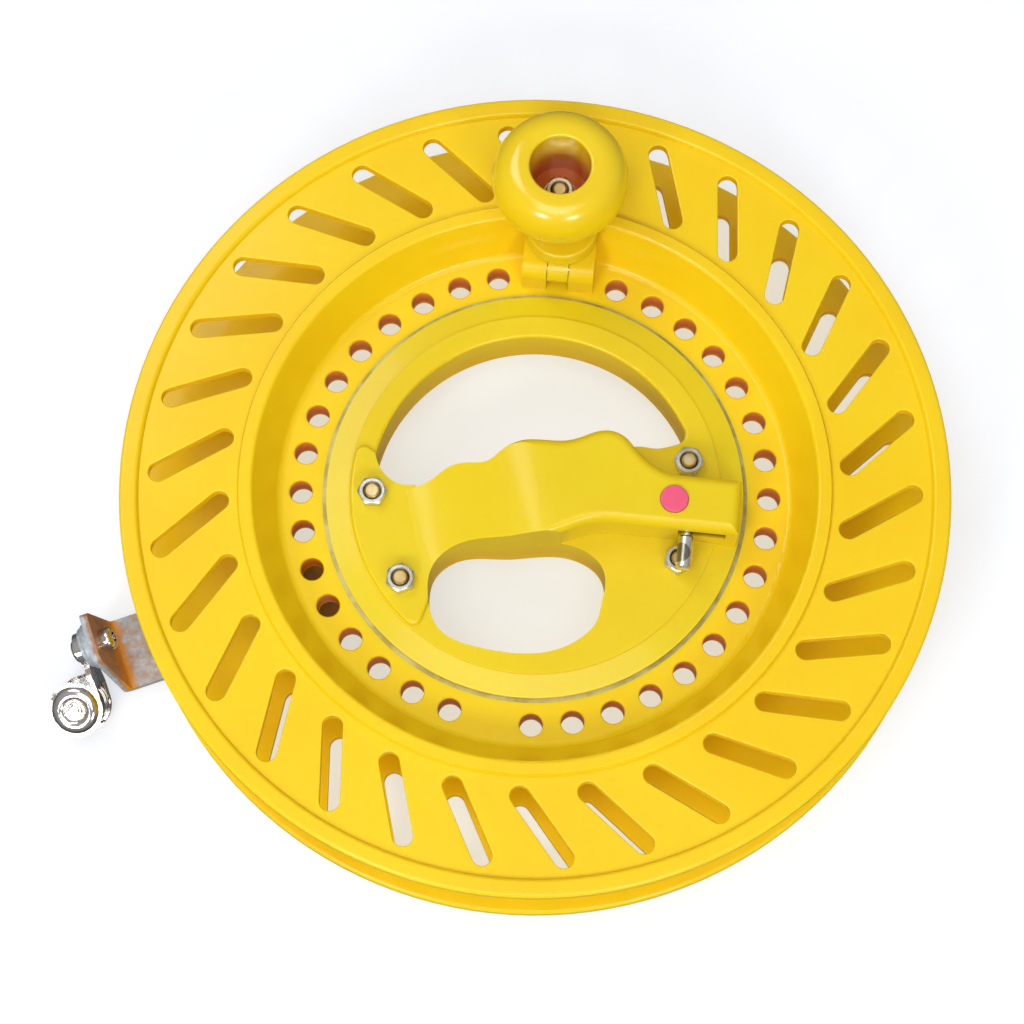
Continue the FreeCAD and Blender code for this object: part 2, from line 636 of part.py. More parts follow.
def knob_hardware():
    seat = knob_floor() + 0.3
    nut_z = seat + WASHER_T
    screw = bolt(PLATE_BOTTOM, KNOB_HEAD_R, KNOB_HEAD_H, nut_z + NUT_H + BOLT_PROUD, KNOB_X, KNOB_Y)
    washer = cyl(WASHER_R, seat, nut_z, KNOB_X, KNOB_Y).cut(cyl(BOLT_R, 0, THROUGH, KNOB_X, KNOB_Y))
    return screw, washer, lock_nut(nut_z, KNOB_X, KNOB_Y, 12.0)


def winding_knob():
    edge = KNOB_MOUTH_EDGE
    neck = spline([(KNOB_BASE_R, 0, KNOB_BASE + 1.2), (KNOB_BASE_R + 0.9, 0, KNOB_BASE + 5.5),
                   (KNOB_SKIRT_R - 0.3, 0, KNOB_SKIRT_Z)], (0, 0, 1), (1, 0, 0.25))
    skirt = Part.makeLine(vec(KNOB_SKIRT_R - 0.3, 0, KNOB_SKIRT_Z), vec(KNOB_SKIRT_R, 0, KNOB_SKIRT_Z + 0.3))
    side = spline([(KNOB_SKIRT_R, 0, KNOB_SKIRT_Z + 0.3), (KNOB_MAX_R, 0, KNOB_MAX_Z),
                   (KNOB_MAX_R - 0.8, 0, 39.5), (KNOB_MAX_R - 3.4, 0, 43.0), (KNOB_CROWN_R, 0, KNOB_TOP)],
                  (0.35, 0, 1), (-1, 0, 0))
    crown = Part.makeLine(vec(KNOB_CROWN_R, 0, KNOB_TOP), vec(KNOB_MOUTH_R + edge, 0, KNOB_TOP))
    lip = Part.Arc(vec(KNOB_MOUTH_R + edge, 0, KNOB_TOP),
                   vec(KNOB_MOUTH_R + edge * (1 - math.sqrt(0.5)), 0, KNOB_TOP - edge * (1 - math.sqrt(0.5))),
                   vec(KNOB_MOUTH_R, 0, KNOB_TOP - edge)).toShape()
    corners = [vec(KNOB_MOUTH_R, 0, KNOB_TOP - edge), vec(KNOB_MOUTH_R, 0, knob_floor()),
               vec(KNOB_BORE_R, 0, knob_floor()), vec(KNOB_BORE_R, 0, KNOB_BASE),
               vec(KNOB_BASE_R - 0.8, 0, KNOB_BASE), vec(KNOB_BASE_R, 0, KNOB_BASE + 1.2)]
    lines = [Part.makeLine(p, q) for p, q in zip(corners, corners[1:])]
    knob = Part.Face(Part.Wire([neck, skirt, side, crown, lip] + lines)).revolve(ORIGIN, Z_AXIS, 360)
    knob.translate(vec(KNOB_X, KNOB_Y))
    return knob


# --- line guide ------------------------------------------------------------------------------------
def to_arm(shape):
    """From the arm's own frame (X outwards along it) to the reel's."""
    shape.rotate(ORIGIN, Z_AXIS, ARM_DEG)
    return shape


def rivet_point():
    return vec(ARM_BEND_X + RIVET_UP * math.tan(math.radians(TAB_LEAN_DEG)), RIVET_Y, ARM_TOP + RIVET_UP)


def to_swivel(shape, droop=0.0):
    """From the swivel's frame (X out along its rivet, from the inner face of the tab) to the reel's."""
    shape.rotate(ORIGIN, X_AXIS, -droop)
    shape.rotate(ORIGIN, Y_AXIS, TAB_LEAN_DEG)
    shape.translate(rivet_point())
    return to_arm(shape)


def guide_arm():
    lean = math.tan(math.radians(TAB_LEAN_DEG))
    thick = ARM_T / math.cos(math.radians(TAB_LEAN_DEG))
    top = -HUB_Z
    tab_top = ARM_TOP + TAB_H
    j0, j1 = ARM_JOGGLE_X
    side = [
        (40.0, top), (j0, top), (j1, ARM_TOP), (ARM_BEND_X, ARM_TOP),
        (ARM_BEND_X + TAB_H * lean, tab_top), (ARM_BEND_X + TAB_H * lean + thick, tab_top),
        (ARM_BEND_X + thick - ARM_T * lean, ARM_TOP - ARM_T), (j1 - 0.6, ARM_TOP - ARM_T),
        (j0 - 0.6, top - ARM_T), (40.0, top - ARM_T),
    ]
    pts = [vec(x, -ARM_WIDTH / 2, z) for x, z in side]
    strip = Part.Face(Part.makePolygon(pts + pts[:1])).extrude(vec(0, ARM_WIDTH, 0))

    # the tab is narrower at its top: one side stands up straight, the other slopes
    half = ARM_WIDTH / 2
    below = ARM_TOP - ARM_T - 5
    profile = rounded([(-half, below, 1), (-half, tab_top, TAB_SMALL_CORNER_R),
                       (TAB_TOP_W - half, tab_top, TAB_CORNER_R), (half, ARM_TOP, TAB_CORNER_R),
                       (half, below, 1)])
    stencil = face_up(profile, 0, 2 * ARM_BEND_X)
    stencil.rotate(ORIGIN, vec(1, 1, 1), 120)
    waste = box(ARM_BEND_X - ARM_WIDTH, 2 * ARM_BEND_X, -ARM_WIDTH, ARM_WIDTH, below + 1, tab_top + 1)
    strip = strip.cut(waste.cut(stencil))
    bend_inside = edges_where(strip, lambda e: abs(e.BoundBox.XMax - ARM_BEND_X) < HAIR
                              and e.BoundBox.YLength > 15)
    bend_outside = edges_where(strip, lambda e: e.BoundBox.YLength > 15 and e.BoundBox.ZMax < ARM_TOP - 1
                               and e.BoundBox.XMin > ARM_BEND_X)
    strip = strip.makeFillet(1.0, bend_inside).makeFillet(2.6, bend_outside)
    pads = []
    for x, y, _, plate, _ in HUB_BOLTS:
        if plate:
            local = vec(x, y)
            turn = FreeCAD.Rotation(Z_AXIS, -ARM_DEG)
            pads.append(turn.multVec(local))
    a, b = pads
    web = Part.makePolygon([
        vec(a.x - ARM_PAD_R, a.y), vec(b.x - ARM_PAD_R, b.y), vec(b.x + 2, b.y + ARM_PAD_R),
        vec(ARM_JOGGLE_X[0] - 1, ARM_WIDTH / 2), vec(ARM_JOGGLE_X[0] - 1, -ARM_WIDTH / 2),
        vec(a.x + 2, a.y - ARM_PAD_R), vec(a.x - ARM_PAD_R, a.y),
    ])
    blank = [face_up(web, top - ARM_T, top)]
    blank += [cyl(ARM_PAD_R, top - ARM_T, top, p.x, p.y) for p in pads]
    arm = strip.fuse(blank).removeSplitter()
    arm = arm.cut(Part.makeCompound([cyl(BOLT_R, -THROUGH, THROUGH, p.x, p.y) for p in pads]))
    arm = to_arm(arm)
    return arm.cut(to_swivel(Part.makeCylinder(RIVET_R, 10, vec(-4, 0, 0), X_AXIS)))


def swivel_stack():
    """Positions along the swivel rivet: thick washer, thin washer, fork, clinched end."""
    thick = (ARM_T, ARM_T + THICK_WASHER_T)
    thin = (thick[1], thick[1] + THIN_WASHER_T)
    fork = (thin[1] + FORK_PLAY, thin[1] + FORK_PLAY + FORK_T)
    return thick, thin, fork, fork[1] + FORK_PLAY


def round_at(x, shape, radius):
    """Fillets the circles that lie in the plane x, for parts turned about X."""
    rims = edges_where(shape, lambda e: abs(e.BoundBox.XMin - x) < HAIR and abs(e.BoundBox.XMax - x) < HAIR)
    return shape.makeFillet(radius, rims)


def swivel_hardware():
    thick, thin, _, clinch = swivel_stack()
    rivet = Part.makeCylinder(RIVET_R, clinch, ORIGIN, X_AXIS)
    head = Part.makeCylinder(RIVET_HEAD_R, RIVET_HEAD_H, vec(-RIVET_HEAD_H, 0, 0), X_AXIS)
    head = round_at(-RIVET_HEAD_H, head, 1.3)
    tail = round_at(clinch + 1.3, Part.makeCylinder(RIVET_HEAD_R, 1.3, vec(clinch, 0, 0), X_AXIS), 0.8)
    rivet = rivet.fuse([head, tail]).removeSplitter()
    rivet = rivet.cut(Part.makeCylinder(RIVET_HOLLOW_R, 1.5, vec(-RIVET_HEAD_H, 0, 0), X_AXIS))
    rings = []
    for radius, (start, end) in ((THICK_WASHER_R, thick), (THIN_WASHER_R, thin)):
        ring = Part.makeCylinder(radius, end - start, vec(start, 0, 0), X_AXIS)
        ring = round_at(end, round_at(start, ring, 0.4), 0.4)
        rings.append(ring.cut(Part.makeCylinder(RIVET_R, 10, ORIGIN, X_AXIS)))
    return to_swivel(rivet), to_swivel(Part.makeCompound(rings))


def tangent_point(start, centre, radius, side):
    """Where a line from start touches the circle, on the side given by +1 or -1."""
    to_centre = centre - start
    swing = math.asin(radius / to_centre.Length) * side
    reach = math.sqrt(to_centre.Length ** 2 - radius ** 2)
    direction = to_centre.normalize()
    turned_dir = vec(direction.x * math.cos(swing) - direction.y * math.sin(swing),
                     direction.x * math.sin(swing) + direction.y * math.cos(swing))
    return start + turned_dir * reach


def cheek_boss():
    """Pressed dome on the outside of a cheek, dished in round the pulley's rivet."""
    profile = spline([(CHEEK_BOSS_R, 0, 0), (0.91 * CHEEK_BOSS_R, 0, 0.65 * CHEEK_BOSS_H),
                      (0.72 * CHEEK_BOSS_R, 0, CHEEK_BOSS_H), (0.52 * CHEEK_BOSS_R, 0, 0.88 * CHEEK_BOSS_H),
                      (CHEEK_DISH_R, 0, CHEEK_DISH_H)])
    corners = [vec(CHEEK_DISH_R, 0, CHEEK_DISH_H), vec(0, 0, CHEEK_DISH_H), vec(0, 0, -CHEEK_T / 2),
               vec(CHEEK_BOSS_R, 0, -CHEEK_T / 2), vec(CHEEK_BOSS_R, 0, 0)]
    boss = Part.Face(Part.Wire([profile, Part.makePolygon(corners)])).revolve(ORIGIN, Z_AXIS, 360)
    boss.translate(vec(PULLEY_X, PULLEY_Y, CHEEK_INSIDE + CHEEK_T))
    return boss


def swivel_fork():
    _, _, web_x, _ = swivel_stack()
    outside = CHEEK_INSIDE + CHEEK_T
    eye = Part.makeCylinder(FORK_EYE_R, FORK_T, vec(web_x[0], 0, 0), X_AXIS)
    # the strap from the eye widens to the bridge that carries the two cheeks
    y0, y1 = FORK_BRIDGE_Y
    corners = [(0, -FORK_NECK_HALF), (FORK_NECK_Y, -FORK_NECK_HALF), (y0, -outside), (y1, -outside),
               (y1, outside), (y0, outside), (FORK_NECK_Y, FORK_NECK_HALF), (0, FORK_NECK_HALF)]
    pts = [vec(web_x[0], y, z) for y, z in corners]
    strap = Part.Face(Part.makePolygon(pts + pts[:1])).extrude(vec(FORK_T, 0, 0))
    centre = vec(PULLEY_X, PULLEY_Y)
    a = vec(web_x[0], y0 - 1.5)
    b = vec(web_x[0], y1)
    ta = tangent_point(a, centre, CHEEK_R, -1)
    tb = tangent_point(b, centre, CHEEK_R, 1)
    far = centre + (centre - (a + b) * 0.5).normalize() * CHEEK_R
    outline = Part.Wire([Part.makeLine(b, a), Part.makeLine(a, ta), Part.Arc(ta, far, tb).toShape(),
                         Part.makeLine(tb, b)])
    pieces = [strap]
    for side in (-1, 1):
        z = side * CHEEK_INSIDE
        cheek = face_up(outline, min(z, side * outside), max(z, side * outside))
        boss = cheek_boss()
        pieces += [cheek, boss if side > 0 else boss.mirror(ORIGIN, Z_AXIS)]
    fork = eye.fuse(pieces).removeSplitter()
    fork = fork.cut(Part.makeCylinder(RIVET_R + 0.1, 20, vec(-5, 0, 0), X_AXIS))
    fork = fork.cut(cyl(PULLEY_PIN_R, -THROUGH, THROUGH, PULLEY_X, PULLEY_Y))
    return to_swivel(fork, FORK_DROOP_DEG)


def pulley_parts():
    outside = CHEEK_INSIDE + CHEEK_T + CHEEK_DISH_H
    pin = cyl(PULLEY_PIN_R, -outside, outside, PULLEY_X, PULLEY_Y)
    steps = []
    for side in (-1, 1):
        start = side * outside
        for radius, height in ((PULLEY_PIN_HEAD_R, PULLEY_PIN_HEAD_H),
                               (PULLEY_PIN_TIP_R, PULLEY_PIN_HEAD_H + PULLEY_PIN_TIP_H)):
            end = start + side * height
            step = cyl(radius, min(start, end), max(start, end), PULLEY_X, PULLEY_Y)
            rim = edges_where(step, lambda e: abs(e.BoundBox.ZMin - end) < HAIR and abs(e.BoundBox.ZMax - end) < HAIR)
            steps.append(step.makeFillet(0.35, rim))
    pin = pin.fuse(steps).removeSplitter()
    rim = PULLEY_HALF - 0.5
    groove = Part.Arc(vec(PULLEY_R, 0, rim), vec(PULLEY_ROOT_R, 0, 0), vec(PULLEY_R, 0, -rim)).toShape()
    corners = [vec(PULLEY_R, 0, -rim), vec(PULLEY_R, 0, -PULLEY_HALF), vec(PULLEY_BORE_R, 0, -PULLEY_HALF),
               vec(PULLEY_BORE_R, 0, PULLEY_HALF), vec(PULLEY_R, 0, PULLEY_HALF), vec(PULLEY_R, 0, rim)]
    lines = [Part.makeLine(p, q) for p, q in zip(corners, corners[1:])]
    wheel = Part.Face(Part.Wire([groove] + lines)).revolve(ORIGIN, Z_AXIS, 360)
    wheel.translate(vec(PULLEY_X, PULLEY_Y))
    return to_swivel(pin, FORK_DROOP_DEG), to_swivel(wheel, FORK_DROOP_DEG)


def build():
    front, rear = spool_shells()
    hub_front, hub_rear = hub_shells()
    bolts, nuts, washers = hub_fasteners()
    carriage, pin = lock_parts()
    button, spring = button_parts()
    knob_bolt, knob_washer, knob_nut = knob_hardware()
    rivet, swivel_washers = swivel_hardware()
    pulley_pin, pulley = pulley_parts()
    hinge_pin = rod(HINGE_PIN_R, vec(-EAR_OUTER_X, HINGE_Y, HINGE_Z), vec(EAR_OUTER_X, HINGE_Y, HINGE_Z))
    return {
        "spool_front_shell": front,
        "spool_rear_shell": rear,
        "bearing_outer_race": outer_race(),
        "bearing_inner_race": inner_race(),
        "bearing_cage": ball_cage(),
        "bearing_balls": bearing_balls(),
        "hub_front_shell": hub_front,
        "hub_rear_shell": hub_rear,
        "hub_bolts": bolts,
        "hub_nuts": nuts,
        "hub_washers": washers,
        "lock_carriage": carriage,
        "lock_pin": pin,
        "lock_button": button,
        "button_spring": spring,
        "knob_hinge_pin": hinge_pin,
        "knob_arm": knob_arm(),
        "knob_bolt": knob_bolt,
        "knob_washer": knob_washer,
        "knob_nut": knob_nut,
        "winding_knob": winding_knob(),
        "guide_arm": guide_arm(),
        "swivel_rivet": rivet,
        "swivel_washers": swivel_washers,
        "swivel_fork": swivel_fork(),
        "pulley_rivet": pulley_pin,
        "guide_pulley": pulley,
    }


os.makedirs("parts", exist_ok=True)
for node, shape in build().items():
    shape.exportStep(os.path.join("parts", node + ".step"))
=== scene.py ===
import bpy, math
from mathutils import Matrix, Vector


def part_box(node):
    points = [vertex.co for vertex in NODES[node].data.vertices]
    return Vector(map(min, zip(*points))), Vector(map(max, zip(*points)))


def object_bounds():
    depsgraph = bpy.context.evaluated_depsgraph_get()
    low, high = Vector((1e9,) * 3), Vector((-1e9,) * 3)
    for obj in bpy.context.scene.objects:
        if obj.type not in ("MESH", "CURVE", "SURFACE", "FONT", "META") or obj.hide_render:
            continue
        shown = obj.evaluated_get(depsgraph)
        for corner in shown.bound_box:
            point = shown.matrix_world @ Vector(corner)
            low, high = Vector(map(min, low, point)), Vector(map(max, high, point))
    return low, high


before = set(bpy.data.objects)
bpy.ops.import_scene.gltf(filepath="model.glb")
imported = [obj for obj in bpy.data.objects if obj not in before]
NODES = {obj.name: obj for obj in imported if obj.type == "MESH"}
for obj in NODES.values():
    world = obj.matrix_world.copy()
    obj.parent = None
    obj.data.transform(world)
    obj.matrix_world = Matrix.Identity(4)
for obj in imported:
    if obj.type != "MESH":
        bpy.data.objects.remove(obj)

# Hand reel for winding line, in yellow plastic, lying face up on a white table.  Metres, +Z out of the front.
CAD_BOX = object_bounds()
MM = 0.001
UP = (0.0, 0.0, 1.0)

# ---- places on the reel that the finishes need, as radii from the spin axis and heights on it ------
HOLE_RING = (57.5 * MM, 68.0 * MM)          # part of the floor that has the round holes
HOLE_HEIGHT = (4.2 * MM, 2.2 * MM)          # no painted orange glow in the holes above the first, full below the second
SLOT_RING = (78.8 * MM, 105.0 * MM)         # part of the flanges that has the slots
SLOT_HEIGHT = (15.6 * MM, 14.6 * MM)        # the same in the slots
SIDE_FACING = (0.55, 0.25)                  # Z of the normal of a face that isn't a side, and that wholly is
EJECTOR_COUNT = 10
EJECTOR_START = 27.5                        # degrees from +X to the first ejector mark
EJECTOR_PLACE = 98.5 * MM
EJECTOR_RING = (2.7 * MM, 0.35 * MM)        # radius of a mark, and half the width of its line
# painted shade inside the lock's slot:
PIN_SHOWS = 10.0 * MM                       # from the lock pin's outer end to where its slot starts to darken
SLOT_DARK = 1.2 * MM                        # from there to where the slot is wholly dark
SLOT_PAST = 1.6 * MM                        # how far the dark goes on behind the lock carriage
SLOT_EDGE = 0.2 * MM                        # softness of the dark's far edge
SLOT_MARGIN = 0.6 * MM                      # how far it goes beyond the carriage and the pin elsewhere
SLOT_LENGTH = 15.0 * MM                     # from the pin's left side to the slot's right end
WINDOW_WALL = (7.0 * MM, -9.0 * MM)         # height where the painted deeper tone of the window walls starts, and over how much
# where the painted orange glow in the knob's mouth goes:
MOUTH_R = (8.8 * MM, 8.4 * MM)              # outside the knob's mouth, and wholly inside it
MOUTH_DEPTH = (-6.0 * MM, -19.0 * MM)       # from the knob's top
MOUTH_FLOOR = (1.2 * MM, 1.8 * MM)          # from the knob's lowest point
SINK_R = (2.7 * MM, 2.5 * MM)               # outside the painted shade in the countersink of a nut, and wholly inside it
NUT_REACH = 6.0 * MM                        # more than half a nut's width, less than half the gap between two
ARM_TURN = math.radians(205.0)              # the guide arm's heading, from +X
TAB_LEAN = math.radians(15.0)               # lean of its bent tab
PLATE_T = 2.0 * MM                          # thickness of its strip


def rgb(r, g, b):
    """A display colour, 0-255, as the linear colour that a shader takes."""
    def line(c):
        c /= 255
        return c / 12.92 if c <= 0.04045 else ((c + 0.055) / 1.055) ** 2.4
    return (line(r), line(g), line(b), 1.0)


class Paint:
    """A material's node tree with short calls for the nodes that the finishes share."""

    def __init__(self, name):
        self.name = name
        self.material = bpy.data.materials.new(name)
        self.material.use_nodes = True
        self.tree = self.material.node_tree
        self.shader = self.tree.nodes["Principled BSDF"]
        self.place = self.tree.nodes.new("ShaderNodeTexCoord").outputs["Object"]

    def add(self, kind, inputs=(), **settings):
        node = self.tree.nodes.new(kind)
        for key, value in settings.items():
            setattr(node, key, value)
        for key, value in dict(inputs).items():
            self.put(node.inputs[key], value)
        return node

    def put(self, socket, value):
        if isinstance(value, bpy.types.NodeSocket):
            self.tree.links.new(value, socket)
        else:
            socket.default_value = value

    def set(self, **values):
        """Put values on the shader's own sockets, named with _ for a space."""
        for key, value in values.items():
            self.put(self.shader.inputs[key.replace("_", " ")], value)

    def stretched(self, scale):
        return self.add("ShaderNodeMapping", {"Vector": self.place, "Scale": scale}).outputs[0]

    def noise(self, scale, detail=3.0, roughness=0.55, where=None):
        """Cloudy noise from 0 to 1, with scale cells to a metre."""
        return self.add("ShaderNodeTexNoise", {
            "Vector": where or self.place, "Scale": scale, "Detail": detail, "Roughness": roughness,
        }).outputs["Fac"]

    def span(self, value, low, high, to_low=0.0, to_high=1.0, smooth=False):
        return self.add("ShaderNodeMapRange", {
            "Value": value, "From Min": low, "From Max": high, "To Min": to_low, "To Max": to_high,
        }, interpolation_type="SMOOTHSTEP" if smooth else "LINEAR").outputs[0]

    def math(self, operation, a, b=0.0):
        node = self.add("ShaderNodeMath", operation=operation)
        self.put(node.inputs[0], a)
        self.put(node.inputs[1], b)
        return node.outputs[0]

    def times(self, first, *others):
        for other in others:
            first = self.math("MULTIPLY", first, other)
        return first

    def mix(self, amount, a, b):
        node = self.add("ShaderNodeMix", data_type="RGBA")
        self.put(node.inputs[0], amount)
        self.put(node.inputs[6], a)
        self.put(node.inputs[7], b)
        return node.outputs[2]

    def along(self, direction, origin=(0, 0, 0)):
        """How far a point is from origin, along direction."""
        offset = self.add("ShaderNodeVectorMath", operation="SUBTRACT")
        self.put(offset.inputs[0], self.place)
        offset.inputs[1].default_value = origin
        dot = self.add("ShaderNodeVectorMath", operation="DOT_PRODUCT")
        self.put(dot.inputs[0], offset.outputs[0])
        dot.inputs[1].default_value = direction
        return dot.outputs["Value"]

    def between(self, value, start, end):
        """1 between two values, 0 outside them."""
        return self.times(self.math("GREATER_THAN", value, start), self.math("LESS_THAN", value, end))

    def side_facing(self):
        """1 on a face that stands upright in the object, 0 on a level one."""
        facing = self.add("ShaderNodeTexCoord").outputs["Normal"]
        tilt = self.add("ShaderNodeSeparateXYZ", {"Vector": facing}).outputs["Z"]
        return self.span(self.math("ABSOLUTE", tilt), *SIDE_FACING)

    def around(self, spot):
        """Distance from the upright line through spot."""
        split = self.add("ShaderNodeSeparateXYZ", {"Vector": self.place})
        gaps = [self.math("SUBTRACT", split.outputs[i], spot[i]) for i in (0, 1)]
        return self.math("SQRT", self.math("ADD", *[self.math("MULTIPLY", gap, gap) for gap in gaps]))

    def radius(self):
        """Distance from the spin axis."""
        return self.around((0.0, 0.0))

    def away_in_sector(self, count, start_deg, reach):
        """How far a point is from the nearest of count spots, spaced evenly at reach from the spin axis."""
        split = self.add("ShaderNodeSeparateXYZ", {"Vector": self.place})
        x, y = split.outputs[0], split.outputs[1]
        sector = 2 * math.pi / count
        start = math.radians(start_deg) - sector / 2
        turn = self.math("SUBTRACT", self.math("ARCTAN2", y, x), start)
        turn = self.math("SUBTRACT", self.math("FLOORED_MODULO", turn, sector), sector / 2)
        radius = self.math("SQRT", self.math("ADD", self.math("MULTIPLY", x, x), self.math("MULTIPLY", y, y)))
        flat = self.add("ShaderNodeCombineXYZ", {
            "X": self.math("MULTIPLY", radius, self.math("COSINE", turn)),
            "Y": self.math("MULTIPLY", radius, self.math("SINE", turn)),
        })
        node = self.add("ShaderNodeVectorMath", operation="DISTANCE")
        self.put(node.inputs[0], flat.outputs[0])
        node.inputs[1].default_value = (reach, 0.0, 0.0)
        return node.outputs["Value"]

    def bump(self, height, distance, strength=1.0, under=None):
        node = self.add("ShaderNodeBump", {"Height": height, "Distance": distance, "Strength": strength})
        if under is not None:
            self.put(node.inputs["Normal"], under)
        self.put(self.shader.inputs["Normal"], node.outputs[0])
        return node.outputs[0]


# ---- finishes --------------------------------------------------------------------------------------
def plastic(name, colour, deep, rough, gloss=0.3, grain=1.0, glow=0.0, marks=False, extras=None):
    """Moulded plastic: cloudy colour, flow marks, a fine grain and hairline scratches."""
    p = Paint(name)
    cloud = p.span(p.noise(22.0, 4.0, 0.5), 0.38, 0.66, smooth=True)
    flow = p.span(p.noise(7.0, 2.0, 0.5, p.stretched((1.0, 3.5, 1.0))), 0.4, 0.62, smooth=True)
    tone = p.mix(p.times(cloud, 0.6), colour, deep)
    speck = p.span(p.noise(950.0, 2.0, 0.7), 0.68, 0.76, 0.0, 0.3)
    tone = p.mix(speck, tone, deep)
    scratch = p.span(p.noise(60.0, 2.0, 0.4, p.stretched((14.0, 1.0, 1.0))), 0.70, 0.77)
    cross = p.span(p.noise(60.0, 2.0, 0.4, p.stretched((1.0, 16.0, 1.0))), 0.71, 0.78)
    hair = p.math("MAXIMUM", scratch, cross)
    p.set(Roughness=p.math("ADD", p.span(flow, 0.0, 1.0, rough - 0.04, rough + 0.05), p.times(hair, 0.1)))
    under = p.bump(p.noise(700.0, 3.0, 0.6), 0.02 * MM * grain)
    under = p.bump(hair, -0.01 * MM * grain, 0.6, under)
    if marks:
        edge = ejector_rings(p)
        p.bump(edge, -0.06 * MM, 0.8, under)
        tone = p.mix(p.times(edge, 0.35), tone, deep)
    # extras give masks of painted shade and painted glow, each with its colour
    for mask, shade in (extras(p) if extras else ()):
        tone = p.mix(mask, tone, shade)
    p.set(Base_Color=tone, Specular_IOR_Level=gloss, Coat_Weight=0.3, Coat_Roughness=0.12)
    if glow:
        p.set(Subsurface_Weight=glow, Subsurface_Radius=(1.0, 0.42, 0.06), Subsurface_Scale=4.0 * MM)
    return p


def ejector_rings(p):
    """Round marks that the ejector pins leave between the slots."""
    radius, half_width = EJECTOR_RING
    off_ring = p.math("SUBTRACT", p.away_in_sector(EJECTOR_COUNT, EJECTOR_START, EJECTOR_PLACE), radius)
    return p.math("SUBTRACT", 1.0, p.span(p.math("ABSOLUTE", off_ring), 0.0, half_width))


def spool_painted_glow(p):
    """The sides of the holes and slots are painted orange, a painted glow that stands in for light passing
    through the plastic.
    """
    side = p.side_facing()
    height = p.math("ABSOLUTE", p.along(UP))
    radius = p.radius()
    holes = p.times(side, p.between(radius, *HOLE_RING), p.span(height, *HOLE_HEIGHT))
    slots = p.times(side, p.between(radius, *SLOT_RING), p.span(height, *SLOT_HEIGHT))
    return (holes, rgb(226, 130, 30)), (p.times(slots, 0.3), rgb(226, 152, 14))


def hub_painted_light(p):
    """The lock's slot is painted dark inside as painted shade, and the walls of the two windows are painted a
    deeper tone lower down as a painted glow of light through the plastic.
    """
    low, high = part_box("lock_carriage")
    pin_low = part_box("lock_pin")[0]
    # painted shade inside the lock's slot
    depth = p.span(p.along((0, 1, 0), (0, pin_low.y + PIN_SHOWS, 0)), 0.0, SLOT_DARK)
    inner = p.span(p.along((0, 1, 0), (0, high.y + SLOT_PAST, 0)), 0.0, -SLOT_EDGE)
    band = p.between(p.along(UP), low.z - SLOT_MARGIN, high.z + SLOT_MARGIN)
    reach = p.between(p.along((1, 0, 0)), pin_low.x - SLOT_MARGIN, pin_low.x + SLOT_LENGTH)
    slot = p.times(p.times(depth, inner), p.times(band, reach))
    # painted glow: the window walls turn a deeper orange lower down
    wall_start, wall_full = WINDOW_WALL
    below = p.span(p.along(UP, (0, 0, wall_start)), 0.0, wall_full)
    walls = p.times(p.side_facing(), below, 0.4)
    return (walls, rgb(218, 158, 24)), (slot, rgb(140, 64, 24))


def knob_painted_glow(p):
    """The deep mouth of the knob is painted orange lower down, a painted glow of light through the plastic.
    """
    low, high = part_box("winding_knob")
    middle = (low + high) / 2
    inside = p.span(p.around((middle.x, middle.y)), *MOUTH_R)
    depth = p.span(p.along(UP, (0, 0, high.z)), *MOUTH_DEPTH, smooth=True)
    above = p.span(p.along(UP, (0, 0, low.z)), *MOUTH_FLOOR)
    return ((p.times(inside, depth, above), rgb(216, 112, 30)),)


def metal(name, colour, dark, rough, stain=None):
    """Plated or bare steel: uneven tone, fine pits and wiping marks, and a stain where it has one."""
    p = Paint(name)
    p.tone = p.mix(p.span(p.noise(160.0, 4.0, 0.6), 0.38, 0.66, smooth=True), colour, dark)
    if stain is not None:
        blot = p.span(p.noise(210.0, 5.0, 0.65), 0.60, 0.70, 0.0, 0.6, smooth=True)
        p.tone = p.mix(blot, p.tone, stain)
    wipe = p.noise(420.0, 3.0, 0.6)
    p.bump(wipe, 0.008 * MM)
    p.set(Base_Color=p.tone, Roughness=p.span(wipe, 0.3, 0.7, rough - 0.05, rough + 0.08), Metallic=1.0)
    return p


def arm_crease():
    """A point on the inside of the guide arm's bend, and the level heading of the arm there."""
    out = Vector((math.cos(ARM_TURN), math.sin(ARM_TURN), 0.0))
    plate_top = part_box("guide_arm")[0].z + PLATE_T
    clear = 6 * PLATE_T                     # height over the plate where only the tab is left
    tab = [v.co.dot(out) for v in NODES["guide_arm"].data.vertices if v.co.z > plate_top + clear]
    return out * (min(tab) - clear * math.tan(TAB_LEAN)) + Vector((0, 0, plate_top)), out


